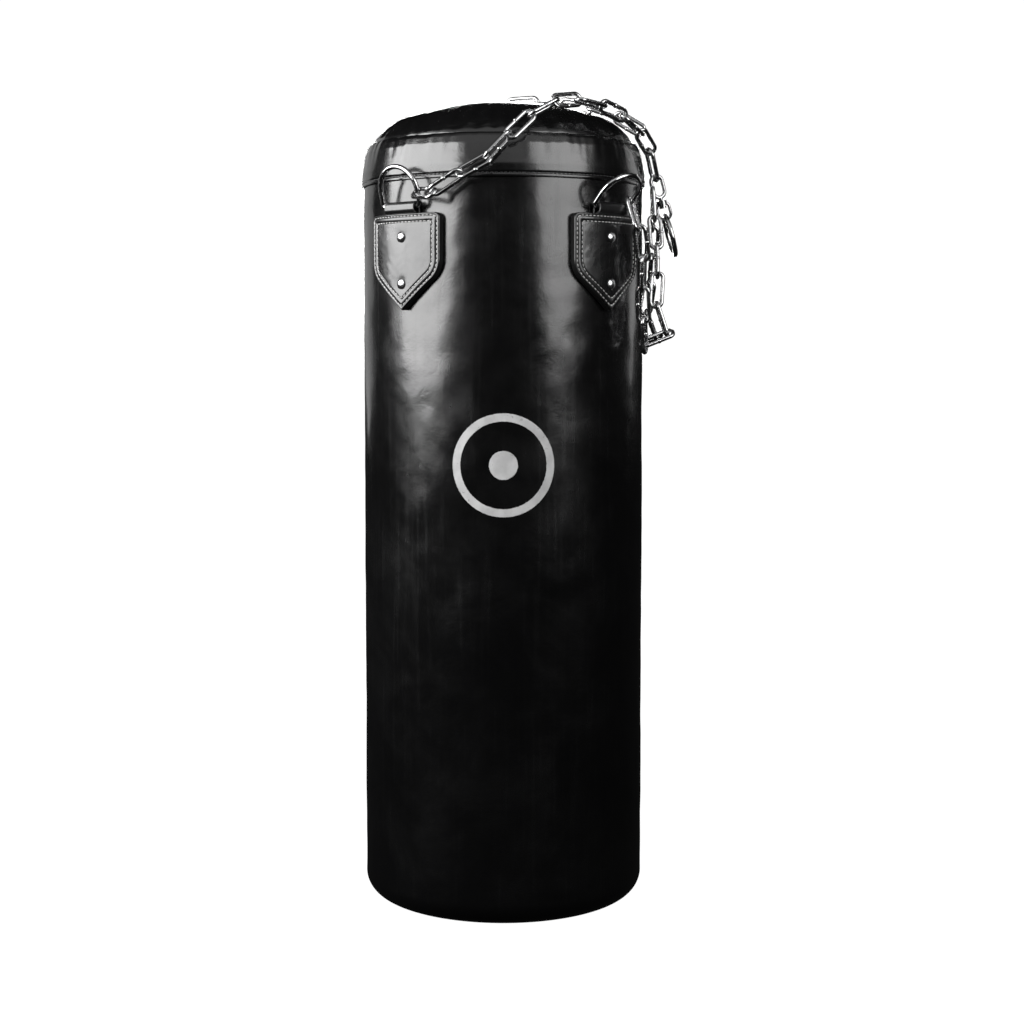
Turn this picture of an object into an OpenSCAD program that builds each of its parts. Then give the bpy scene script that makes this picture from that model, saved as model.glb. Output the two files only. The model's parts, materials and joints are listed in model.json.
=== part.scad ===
// Leather heavy bag standing on its base, with its four hanging chains draped over the top.
// Units are millimetres. +Z is up, -Y is the front, and the origin is the centre of the base.

/* [Bag] */
// Outside diameter of the leather body
bag_d = 350; // [348:1:351]
// Height of the crown of the top panel above the base
bag_h = 997; // [996:1:998]
// Thickness of the leather
leather = 3; // [2.5:0.1:3]
// Radius of the rounded bottom edge
foot_round = 28; // [20:1:34]
// Spherical radius of the domed top panel
dome_r = 340; // [335:1:345]

/* [Cap band] */
// Height of the band's lower edge above the base
band_low = 889; // [886:1:892]
// Thickness of the band
band_t = 2.2; // [1.8:0.1:2.2]

/* [Tabs] */
// Width of a sewn tab patch
tab_w = 108; // [100:1:114]
// Height of a tab patch from its straight top edge to its point
tab_h = 114; // [108:1:118]
// Height of the patch's straight sides
tab_side = 55; // [48:1:60]
// Radius of the corners where the sides turn towards the point
tab_round = 30; // [20:1:36]
// Radius of the patch's top corners
corner = 7; // [4:0.5:10]
// Width of the strap that holds a D-ring
strap_w = 47; // [44:1:48]
// Compass turn of the front left tab, from the front towards +X
front_left_turn = -41; // [-43:1:-39]
// Compass turn of the front right tab
front_right_turn = 44; // [43:1:45]
// Compass turn of the back right tab
back_right_turn = 139; // [138:1:140]
// Compass turn of the back left tab
back_left_turn = -136; // [-138:1:-134]

/* [Rivets] */
// Diameter of a rivet's head
rivet_head_d = 12; // [9:0.5:12]
// Diameter of a rivet's shank
rivet_d = 4.5; // [4:0.1:4.6]

/* [D-rings] */
// Wire diameter of a D-ring
dee_wire = 6; // [5.6:0.1:6]
// Width of a D-ring between the centre lines of its sides
dee_w = 59; // [58:1:60]
// Height of a D-ring from its bar to the centre line of its bow
dee_h = 48; // [47:1:49]

/* [Chains] */
// Inside length of a chain link
link_pitch = 37.5; // [37.3:0.1:37.7]
// Wire diameter of a chain link
link_wire = 5; // [4.6:0.1:5]
// Outside width of a chain link
link_w = 19; // [18.8:0.1:19.2]
// Number of links in each chain
link_count = 11; // [10:1:11]
// Play between two links, measured along the chain
slack = 0.5; // [0.4:0.05:0.7]

/* [Swivel] */
// Inside length of the master link
master_pitch = 36; // [34:1:38]
// Outside diameter of the swivel's barrel
barrel_d = 13; // [11:0.5:14]
// Outside diameter of the hang ring
ring_d = 57; // [54:1:58]
// Wire diameter of the hang ring
ring_wire = 6; // [5:0.5:6]

/* [Hidden] */
CURVE = 96;                                  // fineness of large rounds
FINE = 48;                                   // fineness of small rounds
WIRE_FN = 32;                                // fineness of a wire's section
clear = 0.3;                                 // gap between neighbouring pieces
cut = 1;                                     // how far a cutter runs past a face

bag_r = bag_d / 2;
foot_r = bag_r - foot_round;                 // flat foot of the bag
band_lap = 14;                               // how far the band laps over the leather body
leather_top = band_low + band_lap;
dome_z = bag_h - dome_r;                     // centre of the dome's sphere
crease_in = 11.7;                            // how far the top is drawn in at the crease
skirt_r = bag_r - crease_in;                 // outside of the top panel's skirt
skirt_low = band_low + 39;
edge_r = 38;                                 // rounding from the dome into its skirt
edge_bulge = 1.3;                            // how far that rounding stands out of the skirt
edge_x = skirt_r - edge_r + edge_bulge;      // centre of the rounding
edge_z = dome_z + sqrt(pow(dome_r - edge_r, 2) - edge_x * edge_x);

band_r = bag_r + clear + band_t;             // outside of the cap band
// Outline of the cap band's outer face: upright wall, then drawn in to the crease
band_face = [[band_r, band_low], [band_r, band_low + 16], [band_r - 2, band_low + 28],
             [band_r - 4.5, band_low + 41], [band_r - 7, band_low + 49],
             [band_r - 11.3, band_low + 53.4]];

strap_in = bag_r + 0.4;                      // inner face of a hanger strap
strap_t = 5.6;
patch_in = bag_r + clear;
patch_t = 9.2;
patch_drop = 40;                             // from the band's lower edge to a patch's top
patch_top = band_low - patch_drop;
patch_low = patch_top - tab_h;
pocket_end = 14;                             // from a patch's point to the end of its strap
strap_low = patch_low + pocket_end;
rivet_up = [31, 86];                         // heights of the rivets above the patch's point
rivet_z = [for (up = rivet_up) patch_low + up];
rivet_hole = rivet_d + clear;

fill_gap = 2.2;                              // play between the filling and its leather
fill_r = bag_r - leather - fill_gap;
fill_floor = leather + 0.4;                  // lower face of the filling
fill_neck = skirt_r - leather - 0.8;         // filling inside the top panel's skirt

bar_out = 7.5;                               // from the leather to the centre of a D-ring's bar
bar_r = bag_r + bar_out;
bar_up = 8;                                  // from a patch's top to the centre of the bar
bar_z = patch_top + bar_up;
eye_r = dee_wire / 2 + 0.4;                  // bore of the strap's eye round the bar
eye_wall = 2.8;
dee_half = dee_w / 2;
dee_corner = 5;

bow_r = (link_w - link_wire) / 2;            // centre-line radius of a link's bow
link_reach = link_pitch + link_wire - 2 * bow_r; // between a link's two bow centres
link_gap = 2 * bow_r - link_wire - slack;    // between facing bow centres of two links
link_step = link_reach + link_gap;           // length that one link adds to the chain
hook_play = 1.4;                             // play of the first link on its D-ring

function unit(v) = v / norm(v);
function turned(v, axis, a) = cos(a) * v + sin(a) * cross(axis, v);
function square_to(v, axis) = unit(v - axis * (v * axis));
function along(v, way) = v * way < 0 ? -v : v;
function outward(turn) = [sin(turn), -cos(turn), 0];
function sideways(turn) = [cos(turn), sin(turn), 0];

// Points of a chain's route: beside the shoulder of the bag, and above its dome
drape_r = 67;
function over(turn, rise, lift) =
  let (reach = drape_r + lift, out = band_r - drape_r + reach * cos(rise))
  [out * sin(turn), -out * cos(turn), band_low + 16 + reach * sin(rise)];
function above(x, y, lift) = [x, y, dome_z + sqrt(pow(dome_r + lift, 2) - x * x - y * y)];

// Each leg: name, turn and lean of its D-ring, where the first link hooks on it (side, height;
// side 0 is the middle of the bow), roll of the first link, twist per link, and its route
front_left = ["front_left", front_left_turn, 16, 1, 15, 30, 12,
  [[-83, -191, 866], [-54, -192, 887], [-21, -192, 906], [4, -187, 932], [29, -175, 960],
   [60, -157, 978], [90, -134, 983], [120, -110, 979], [149, -86, 967], [171, -57, 950],
   [187, -27, 925]]];
back_left = ["back_left", back_left_turn, 16, 0, 0, 20, 0,
  [over(-134, 24, 17.5), over(-131, 60, 16), above(-62, 94, 12.5), above(0, 64, 12),
   above(60, 34, 12), above(105, 16, 13), over(92.5, 69, 16), over(89, 42, 17),
   over(91, 18, 17)]];
front_right = ["front_right", front_right_turn, 43, 1, 8, -20, 0,
  [[160, -128, 832], [166, -118, 797], [171, -100, 684], [206, -94, 702], [192, -88, 737],
   [184, -42, 880], [184, -42, 930]]];
back_right = ["back_right", back_right_turn, 40, -1, 9.5, 5, 0,
  [[157, 128, 832], [163, 116, 797], [171, 97, 684], [206, 88, 702], [191, 74, 733],
   [190, 24, 874], [190, 24, 930]]];
LEGS = [front_left, back_left, front_right, back_right];

// A D-ring's plane leans out from upright by the leg's lean
function dee_up(leg) = sin(leg[2]) * outward(leg[1]) + cos(leg[2]) * [0, 0, 1];
function dee_at(leg, side, up) =
  bar_r * outward(leg[1]) + [0, 0, bar_z] + side * sideways(leg[1]) + up * dee_up(leg);
function hook(leg) = leg[3] == 0 ? dee_at(leg, 0, dee_h) : dee_at(leg, leg[3] * dee_half, leg[4]);
function wire_way(leg) = leg[3] == 0 ? sideways(leg[1]) : dee_up(leg);

// Next point of the route that lies one link step away: [point, route segment]
function reach(route, seg, from) =
  seg < len(route) - 2 && norm(route[seg + 1] - from) < link_step
  ? reach(route, seg + 1, from)
  : let (a = route[seg], d = route[seg + 1] - a, m = a - from, b = d * m,
         root = sqrt(b * b - (d * d) * (m * m - link_step * link_step)))
    [a + d * (root - b) / (d * d), seg];

// A link is [near bow centre, way it points, normal of its plane]
function links(route, seg, at, way, normal, twist, left) =
  left == 0 ? [] :
  let (far = at + link_reach * way,
       joint = far + way * link_gap / 2,
       next = reach(route, seg, joint),
       way2 = unit(next[0] - joint),
       normal2 = turned(unit(cross(way2, normal)), way2, twist),
       step = along(unit(cross(normal, normal2)), way2))
  concat([[at, way, normal]],
         links(route, next[1], far + link_gap * step, way2, normal2, twist, left - 1));

function chain(leg) =
  let (start = hook(leg),
       route = concat([start], leg[7]),
       first = reach(route, 0, start),
       way = unit(first[0] - start),
       normal = turned(square_to(wire_way(leg), way), way, leg[5]),
       near = start + way * (bow_r - link_wire / 2 - dee_wire / 2 - hook_play))
  links(route, first[1], near, way, normal, leg[6], link_count);
CHAINS = [for (leg = LEGS) chain(leg)];

// The master link, the swivel and the hang ring follow the front left chain
master_bow = 8.5;
master_reach = master_pitch + link_wire - 2 * master_bow;
eye_bow = 7.5;
eye_reach = 12;
loop_wire = 4;
loop_bow = 8;
loop_reach = 6;
barrel_from = eye_bow + link_wire / 2 + 1;   // distances below, along the swivel's axis
barrel_to = barrel_from + 7.6;               // from the eye's far bow centre
shank_d = 6;
stem_head_d = 9;
stem_head_t = 2.5;
loop_from = barrel_from + 3;                 // centre line of the loop's upper bow
loop_far = loop_from + loop_reach + 2 * loop_bow;
ring_r = (ring_d - ring_wire) / 2;

last = CHAINS[0][link_count - 1];
master_aim = [194, -18, 885];
eye_aim = [204, -15, 845];
function next_bow(from, aim, gap) =
  let (far = from[0] + from[3] * from[1],
       way = unit(aim - far),
       normal = unit(cross(way, from[2])),
       step = along(unit(cross(from[2], normal)), way))
  [far + gap * step, way, normal];
master = next_bow(concat(last, link_reach), master_aim, bow_r + master_bow - link_wire - slack);
eye = next_bow(concat(master, master_reach), eye_aim, master_bow + eye_bow - link_wire - slack);
eye_far = eye[0] + eye_reach * eye[1];
// The swivel's loop faces the front with its edge, so the ring hangs across it
loop_normal = square_to([0, 1, 0], eye[1]);
ring_pivot = eye_far + loop_far * eye[1];
ring_hang = ring_r - ring_wire / 2 - loop_wire / 2 - slack;
ring_normal = cross(eye[1], loop_normal);

function link_name(leg, i) = str(leg[0], "_link_", i < 10 ? "0" : "", i);

// Puts a shape drawn along +X, in the XY plane, at a point with a direction and a normal
module place(at, way, normal) {
  side = cross(normal, way);
  multmatrix([[way[0], side[0], normal[0], at[0]],
              [way[1], side[1], normal[1], at[1]],
              [way[2], side[2], normal[2], at[2]]]) children();
}

// A cylinder that runs outwards from a distance in front of the bag's axis
module spoke(d, from, to, z) {
  translate([0, -from, z]) rotate([90, 0, 0]) cylinder(h = to - from, d = d, $fn = FINE);
}

module at_tabs() {
  for (leg = LEGS) rotate([0, 0, leg[1]]) children();
}

// Closed wire link: two half rings joined by straight sides, near bow centre at the origin
module wire_link(bow, straight, wire) {
  for (end = [0, 1])
    translate([end * straight, 0]) mirror([1 - end, 0, 0]) rotate([0, 0, -90])
      rotate_extrude(angle = 180, $fn = FINE) translate([bow, 0]) circle(d = wire, $fn = WIRE_FN);
  for (side = [-1, 1])
    translate([0, side * bow, 0]) rotate([0, 90, 0]) cylinder(h = straight, d = wire, $fn = WIRE_FN);
}

// Half section of a body of revolution with a flat foot and a rounded bottom edge
module bag_section(r, round, top) {
  square([foot_r, top]);
  translate([0, foot_round]) square([r, top - foot_round]);
  translate([foot_r, foot_round]) circle(r = round, $fn = CURVE);
}

// Half section of the domed top, shrunk by an offset
module dome_section(off, low) {
  meet_r = edge_x * (dome_r - off) / (dome_r - edge_r);   // where the dome meets its edge
  intersection() {
    translate([0, low]) square([meet_r, bag_h - low]);
    translate([0, dome_z]) circle(r = dome_r - off, $fn = CURVE * 4);
  }
  intersection() {
    translate([0, edge_z]) square([skirt_r, bag_h - edge_z]);
    translate([edge_x, edge_z]) circle(r = edge_r - off, $fn = CURVE);
  }
  translate([0, low]) square([min(skirt_r, edge_x + edge_r - off), edge_z - low]);
}

// Shield outline of a tab patch: straight top and sides, then two straight edges to a point
module shield() {
  half = tab_w / 2;
  shoulder = patch_top - tab_side;
  drop = tab_h - tab_side;
  turn_x = half - tab_round;
  reach = norm([turn_x, drop]);              // from the point to a rounded corner's centre
  lean = atan2(drop, turn_x) - asin(tab_round / reach);
  run = sqrt(reach * reach - tab_round * tab_round);
  translate([-half, shoulder]) square([tab_w, tab_side - corner]);
  translate([corner - half, shoulder]) square([tab_w - 2 * corner, tab_side]);
  for (m = [0, 1]) mirror([m, 0]) {
    translate([half - corner, patch_top - corner]) circle(r = corner, $fn = FINE);
    translate([turn_x, shoulder]) circle(r = tab_round, $fn = CURVE);
    polygon([[0, patch_low], [run * cos(lean), patch_low + run * sin(lean)], [turn_x, shoulder],
             [0, shoulder]]);
  }
}

module leather_sleeve() {
  color("#16171a") difference() {
    rotate_extrude($fn = CURVE) difference() {
      bag_section(bag_r, foot_round, leather_top);
      translate([0, -cut]) square([foot_r, leather_top + 2 * cut]);
      translate([0, foot_round]) square([bag_r - leather, leather_top]);
      translate([foot_r, foot_round]) circle(r = foot_round - leather, $fn = CURVE);
    }
    at_tabs() for (z = rivet_z) spoke(rivet_hole, fill_r, bag_r + cut, z);
  }
}

module base_panel() {
  color("#131416") cylinder(h = leather, r = foot_r - clear, $fn = CURVE);
}

// Point of a face moved inwards along the mean normal of its neighbours
function inset(face, i, t) =
  let (a = face[max(i - 1, 0)], b = face[min(i + 1, len(face) - 1)], d = unit(b - a))
  face[i] + t * [-d[1], d[0]];

module cap_band() {
  last_point = len(band_face) - 1;
  inner = [for (i = [last_point : -1 : 1]) inset(band_face, i, band_t)];
  color("#1a1b1e") rotate_extrude($fn = CURVE)
    polygon(concat(band_face, inner, [[band_r - band_t, band_low]]));
}

module top_panel() {
  color("#1a1b1e") rotate_extrude($fn = CURVE) difference() {
    dome_section(0, skirt_low);
    translate([0, -cut]) dome_section(leather, skirt_low);
  }
}

module filling() {
  color("#8b8479") rotate_extrude($fn = CURVE) {
    intersection() {
      bag_section(fill_r, fill_r - foot_r, leather_top);
      translate([0, fill_floor]) square([fill_r, leather_top]);
    }
    intersection() {
      square([fill_neck, bag_h]);
      dome_section(leather + fill_gap, leather_top - cut);
    }
  }
}

// A ring of leather round the bag, cut to a shape seen from the front
module wrapped(from, to, low, high) {
  intersection() {
    translate([0, 0, low]) difference() {
      cylinder(h = high - low, r = to, $fn = CURVE);
      translate([0, 0, -cut]) cylinder(h = high - low + 2 * cut, r = from, $fn = CURVE);
    }
    rotate([90, 0, 0]) linear_extrude(height = to + cut) children();
  }
}

module tab_patches() {
  pocket_w = strap_w + 1;
  color("#191a1c") at_tabs() difference() {
    wrapped(patch_in, patch_in + patch_t, patch_low, patch_top) shield();
    wrapped(patch_in - cut, strap_in + strap_t + 0.2, strap_low - 1, patch_top + cut)
      translate([-pocket_w / 2, strap_low - 1]) square([pocket_w, tab_h]);
    for (z = rivet_z) spoke(rivet_hole, bag_r - cut, patch_in + patch_t + cut, z);
  }
}

module hanger_straps() {
  color("#1c1d20") at_tabs() difference() {
    union() {
      wrapped(strap_in, strap_in + strap_t, strap_low, bar_z)
        translate([-strap_w / 2, strap_low]) square([strap_w, bar_z - strap_low]);
      translate([-strap_w / 2, -bar_r, bar_z]) rotate([0, 90, 0])
        cylinder(h = strap_w, r = eye_r + eye_wall, $fn = FINE);
    }
    translate([-strap_w, -bar_r, bar_z]) rotate([0, 90, 0])
      cylinder(h = 2 * strap_w, r = eye_r, $fn = FINE);
    for (z = rivet_z) spoke(rivet_hole, bag_r - cut, patch_in + patch_t + cut, z);
  }
}

module rivet(z) {
  seat = patch_in + patch_t + 0.05;
  brim = 1;
  crown = 2;
  crown_r = (pow(rivet_head_d / 2, 2) + crown * crown) / (2 * crown);
  burr_d = 12;
  burr_t = 1.5;
  burr_from = bag_r - leather - 0.3 - burr_t;
  spoke(rivet_d, burr_from, seat + cut / 2, z);
  spoke(burr_d, burr_from, burr_from + burr_t, z);
  spoke(rivet_head_d, seat, seat + brim, z);
  intersection() {
    spoke(rivet_head_d, seat, seat + brim + crown, z);
    translate([0, -(seat + brim + crown - crown_r), z]) sphere(r = crown_r, $fn = FINE);
  }
}

module rivets() {
  color("#c9ccd0") at_tabs() for (z = rivet_z) rivet(z);
}

module d_ring(leg) {
  side = dee_h - dee_half;
  color("#d4d7da") place(dee_at(leg, 0, 0), sideways(leg[1]), cross(sideways(leg[1]), dee_up(leg))) {
    translate([0, side]) rotate_extrude(angle = 180, $fn = FINE)
      translate([dee_half, 0]) circle(d = dee_wire, $fn = WIRE_FN);
    for (m = [0, 1]) mirror([m, 0, 0]) {
      translate([dee_half, dee_corner]) rotate([-90, 0, 0])
        cylinder(h = side - dee_corner, d = dee_wire, $fn = WIRE_FN);
      translate([dee_half - dee_corner, dee_corner]) rotate([0, 0, -90])
        rotate_extrude(angle = 90, $fn = FINE)
          translate([dee_corner, 0]) circle(d = dee_wire, $fn = WIRE_FN);
    }
    translate([dee_corner - dee_half, 0]) rotate([0, 90, 0])
      cylinder(h = 2 * (dee_half - dee_corner), d = dee_wire, $fn = WIRE_FN);
  }
}

// A chain link with the small swelling of its weld on one side
module chain_link(link) {
  weld_d = 1.24 * link_wire;
  color("#ced1d5") place(link[0], link[1], link[2]) {
    wire_link(bow_r, link_reach, link_wire);
    translate([link_reach / 2, bow_r]) sphere(d = weld_d, $fn = WIRE_FN);
  }
}

module master_link() {
  color("#ced1d5") place(master[0], master[1], master[2])
    wire_link(master_bow, master_reach, link_wire);
}

// Closed eye with a headed stem that turns in the swivel's barrel
module swivel_eye() {
  head_from = barrel_to + clear;
  color("#ced1d5") place(eye[0], eye[1], eye[2]) {
    wire_link(eye_bow, eye_reach, link_wire);
    translate([eye_reach + eye_bow, 0]) rotate([0, 90, 0])
      cylinder(h = head_from - eye_bow + cut / 2, d = shank_d, $fn = FINE);
    translate([eye_reach + head_from, 0]) rotate([0, 90, 0])
      cylinder(h = stem_head_t, d = stem_head_d, $fn = FINE);
  }
}

// Barrel and closed loop in one piece, turning on the eye's stem
module swivel_body() {
  stem_play = 0.3;
  color("#c3c7cb") place(eye_far, eye[1], loop_normal) difference() {
    union() {
      translate([barrel_from, 0]) rotate([0, 90, 0])
        cylinder(h = barrel_to - barrel_from, d = barrel_d, $fn = FINE);
      translate([loop_from + loop_bow, 0]) wire_link(loop_bow, loop_reach, loop_wire);
    }
    translate([barrel_from - cut, 0]) rotate([0, 90, 0])
      cylinder(h = barrel_to - barrel_from + 2 * cut, r = shank_d / 2 + stem_play, $fn = FINE);
  }
}

module hang_ring() {
  color("#d4d7da") place(ring_pivot + ring_hang * eye[1], eye[1], ring_normal)
    rotate_extrude($fn = CURVE) translate([ring_r, 0]) circle(d = ring_wire, $fn = WIRE_FN);
}

leather_sleeve();
base_panel();
cap_band();
top_panel();
filling();
tab_patches();
hanger_straps();
rivets();
for (leg = LEGS)
  d_ring(leg);
for (k = [0 : len(LEGS) - 1], i = [1 : link_count])
  chain_link(CHAINS[k][i - 1]);
master_link();
swivel_eye();
swivel_body();
hang_ring();
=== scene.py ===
"""Looks of a leather heavy bag that stands on its base, with its hanging chains laid over the top."""

import json
import math

import bpy
import numpy as np
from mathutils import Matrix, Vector, noise


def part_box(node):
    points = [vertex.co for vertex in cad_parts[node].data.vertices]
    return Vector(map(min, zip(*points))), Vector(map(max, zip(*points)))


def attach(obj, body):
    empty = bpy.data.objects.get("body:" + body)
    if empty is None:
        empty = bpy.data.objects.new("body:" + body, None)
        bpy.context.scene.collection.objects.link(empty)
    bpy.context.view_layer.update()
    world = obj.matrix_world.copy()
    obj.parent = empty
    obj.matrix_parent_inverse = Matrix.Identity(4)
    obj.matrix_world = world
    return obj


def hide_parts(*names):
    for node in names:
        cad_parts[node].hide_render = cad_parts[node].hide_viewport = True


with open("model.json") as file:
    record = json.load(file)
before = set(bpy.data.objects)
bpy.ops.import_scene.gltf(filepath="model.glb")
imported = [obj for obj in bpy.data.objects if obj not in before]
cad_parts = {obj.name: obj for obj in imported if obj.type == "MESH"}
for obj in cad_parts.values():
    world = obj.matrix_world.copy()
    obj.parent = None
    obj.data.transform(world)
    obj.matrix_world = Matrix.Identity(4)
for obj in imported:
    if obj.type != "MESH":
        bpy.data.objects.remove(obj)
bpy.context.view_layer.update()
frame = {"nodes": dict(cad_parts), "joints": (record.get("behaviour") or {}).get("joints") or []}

MM = 0.001
TAU = 2 * math.pi
TABS = ("front_left", "back_left", "front_right", "back_right")
JOINTS = {joint["name"]: joint for joint in frame["joints"]}
BAG = "bag"

# Sizes read from the frame
sleeve_low, sleeve_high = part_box("leather_sleeve")
band_low, band_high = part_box("cap_band")
panel_low, panel_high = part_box("top_panel")
base_low, base_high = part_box("base_panel")
patch_low, patch_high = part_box("tab_patches")
BODY_R = sleeve_high.x
BAND_R = band_high.x
PANEL_R = panel_high.x
BASE_R = base_high.x
LEATHER = base_high.z
FOOT_R = BASE_R + 0.3 * MM
FOOT_ROUND = BODY_R - FOOT_R
DOME_R = 340 * MM
DOME_Z = panel_high.z - DOME_R


# ---------------------------------------------------------------- mesh helpers

def mesh_object(name, points, faces, material):
    """A smooth-shaded mesh that rides on the bag, from points in metres."""
    mesh = bpy.data.meshes.new(name)
    mesh.from_pydata([tuple(p) for p in points], [], faces)
    mesh.update()
    mesh.polygons.foreach_set("use_smooth", [True] * len(mesh.polygons))
    mesh.materials.append(material)
    piece = bpy.data.objects.new(name, mesh)
    bpy.context.scene.collection.objects.link(piece)
    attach(piece, BAG)
    return piece


def ring_faces(rings, count):
    """Quads between closed rings of count points each, one ring after the other."""
    faces = []
    for ring in range(rings - 1):
        low = ring * count
        for i in range(count):
            j = (i + 1) % count
            faces.append((low + i, low + j, low + count + j, low + count + i))
    return faces


def around(radius, turn, height):
    """Point at a compass turn from the front (-Y) towards +X."""
    return (radius * math.sin(turn), -radius * math.cos(turn), height)


def arc(centre, radius, start, end, steps):
    """Points (r, z) of an arc, angles in degrees from the r axis."""
    angles = np.radians(np.linspace(start, end, steps))
    return [(centre[0] + radius * math.cos(a), centre[1] + radius * math.sin(a)) for a in angles]


def densify(profile, spacing):
    """The same outline with no two points further apart than spacing."""
    out = [profile[0]]
    for (r0, z0), (r1, z1) in zip(profile[:-1], profile[1:]):
        steps = max(1, math.ceil(math.hypot(r1 - r0, z1 - z0) / spacing))
        for k in range(1, steps + 1):
            out.append((r0 + (r1 - r0) * k / steps, z0 + (z1 - z0) * k / steps))
    return out


def lathe(name, profile, count, material, shift=None, closed=False):
    """A surface of revolution. shift(turn, r, z) returns how far a point moves out and up."""
    points = []
    for r, z in profile:
        for i in range(count):
            turn = TAU * i / count
            out, up = shift(turn, r, z) if shift else (0.0, 0.0)
            points.append(around(r + out, turn, z + up))
    faces = ring_faces(len(profile), count)
    if closed:
        last = (len(profile) - 1) * count
        faces += [(last + i, last + (i + 1) % count, (i + 1) % count, i) for i in range(count)]
    else:
        if profile[0][0] < 1.5 * MM:
            faces.append(tuple(range(count))[::-1])
        if profile[-1][0] < 1.5 * MM:
            last = (len(profile) - 1) * count
            faces.append(tuple(range(last, last + count)))
    return mesh_object(name, points, faces, material)


def soft_noise(turn, z, around_scale, up_scale, seed):
    """Smooth noise on the bag's wall, -1 to 1, seamless round the bag."""
    spot = Vector((math.sin(turn) * around_scale, math.cos(turn) * around_scale + seed,
                   z * up_scale + 3.7 * seed))
    return noise.noise(spot)


def smooth_step(value, low, high):
    t = min(1.0, max(0.0, (value - low) / (high - low)))
    return t * t * (3 - 2 * t)


def stitch_mesh(name, spots, length, width, material):
    """Thread stitches: spots is a list of (centre, way along the seam, normal of the leather)."""
    sides, cuts = 8, 6
    points, faces = [], []
    for centre, way, normal in spots:
        side = way.cross(normal).normalized()
        start = len(points)
        for k in range(cuts + 1):
            t = k / cuts
            bulge = math.sin(math.pi * (0.08 + 0.84 * t)) ** 0.5
            sink = -0.55 * width * (2 * t - 1) ** 4
            along = (t - 0.5) * length
            for i in range(sides):
                a = TAU * i / sides
                twist = 0.12 * math.sin(3 * a + 9 * t)
                rad = 0.5 * width * bulge * (1 + twist)
                points.append(centre + way * along + normal * (sink + rad * math.sin(a) * 0.8)
                              + side * rad * math.cos(a))
        for k in range(cuts):
            for i in range(sides):
                j = (i + 1) % sides
                low = start + k * sides
                faces.append((low + i, low + j, low + sides + j, low + sides + i))
        faces.append(tuple(range(start, start + sides))[::-1])
        faces.append(tuple(range(start + cuts * sides, start + (cuts + 1) * sides)))
    return mesh_object(name, points, faces, material)


def round_seam(name, radius, height, pitch, length, width, normal_up, material):
    """A ring of stitches round the bag."""
    count = round(TAU * radius / pitch)
    spots = []
    for i in range(count):
        turn = TAU * i / count
        out = Vector(around(1, turn, 0))
        normal = (out * math.cos(normal_up) + Vector((0, 0, 1)) * math.sin(normal_up)).normalized()
        way = Vector((math.cos(turn), math.sin(turn), 0))
        spots.append((Vector(around(radius, turn, height)), way, normal))
    return stitch_mesh(name, spots, length, width, material)


# ---------------------------------------------------------------- materials

class Nodes:
    """Short forms for building one node material."""

    def __init__(self, name):
        self.material = bpy.data.materials.new(name)
        self.material.use_nodes = True
        self.tree = self.material.node_tree
        self.shader = self.tree.nodes["Principled BSDF"]
        self.coords = self.add("ShaderNodeTexCoord").outputs["Object"]

    def add(self, kind, **values):
        node = self.tree.nodes.new(kind)
        for key, value in values.items():
            setattr(node, key, value)
        return node

    def link(self, source, target):
        self.tree.links.new(source, target)

    def feed(self, socket, value):
        if isinstance(value, bpy.types.NodeSocket):
            self.link(value, socket)
        else:
            socket.default_value = value

    def scaled(self, scale):
        node = self.add("ShaderNodeMapping")
        node.inputs["Scale"].default_value = scale
        self.link(self.coords, node.inputs["Vector"])
        return node.outputs["Vector"]

    def noise(self, scale, detail=4.0, rough=0.55, distortion=0.0, vector=None):
        node = self.add("ShaderNodeTexNoise")
        node.inputs["Scale"].default_value = scale
        node.inputs["Detail"].default_value = detail
        node.inputs["Roughness"].default_value = rough
        node.inputs["Distortion"].default_value = distortion
        self.link(vector or self.coords, node.inputs["Vector"])
        return node.outputs["Fac"]

    def cells(self, scale):
        node = self.add("ShaderNodeTexVoronoi")
        node.inputs["Scale"].default_value = scale
        self.link(self.coords, node.inputs["Vector"])
        return node.outputs["Distance"]

    def math(self, operation, a, b=0.0):
        node = self.add("ShaderNodeMath", operation=operation)
        self.feed(node.inputs[0], a)
        self.feed(node.inputs[1], b)
        return node.outputs[0]

    def ramp(self, value, low, high, to_low=0.0, to_high=1.0):
        node = self.add("ShaderNodeMapRange", interpolation_type="SMOOTHSTEP")
        self.feed(node.inputs["Value"], value)
        node.inputs["From Min"].default_value = low
        node.inputs["From Max"].default_value = high
        self.feed(node.inputs["To Min"], to_low)
        self.feed(node.inputs["To Max"], to_high)
        return node.outputs["Result"]

    def mix(self, factor, a, b):
        node = self.add("ShaderNodeMix", data_type="RGBA")
        for socket, value in ((0, factor), (6, a), (7, b)):
            self.feed(node.inputs[socket], value)
        return node.outputs[2]

    def bump(self, height, strength, distance, normal=None):
        node = self.add("ShaderNodeBump")
        node.inputs["Strength"].default_value = strength
        node.inputs["Distance"].default_value = distance
        self.feed(node.inputs["Height"], height)
        if normal:
            self.link(normal, node.inputs["Normal"])
        return node.outputs["Normal"]

    def set(self, **values):
        for key, value in values.items():
            self.feed(self.shader.inputs[key.replace("_", " ")], value)


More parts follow.
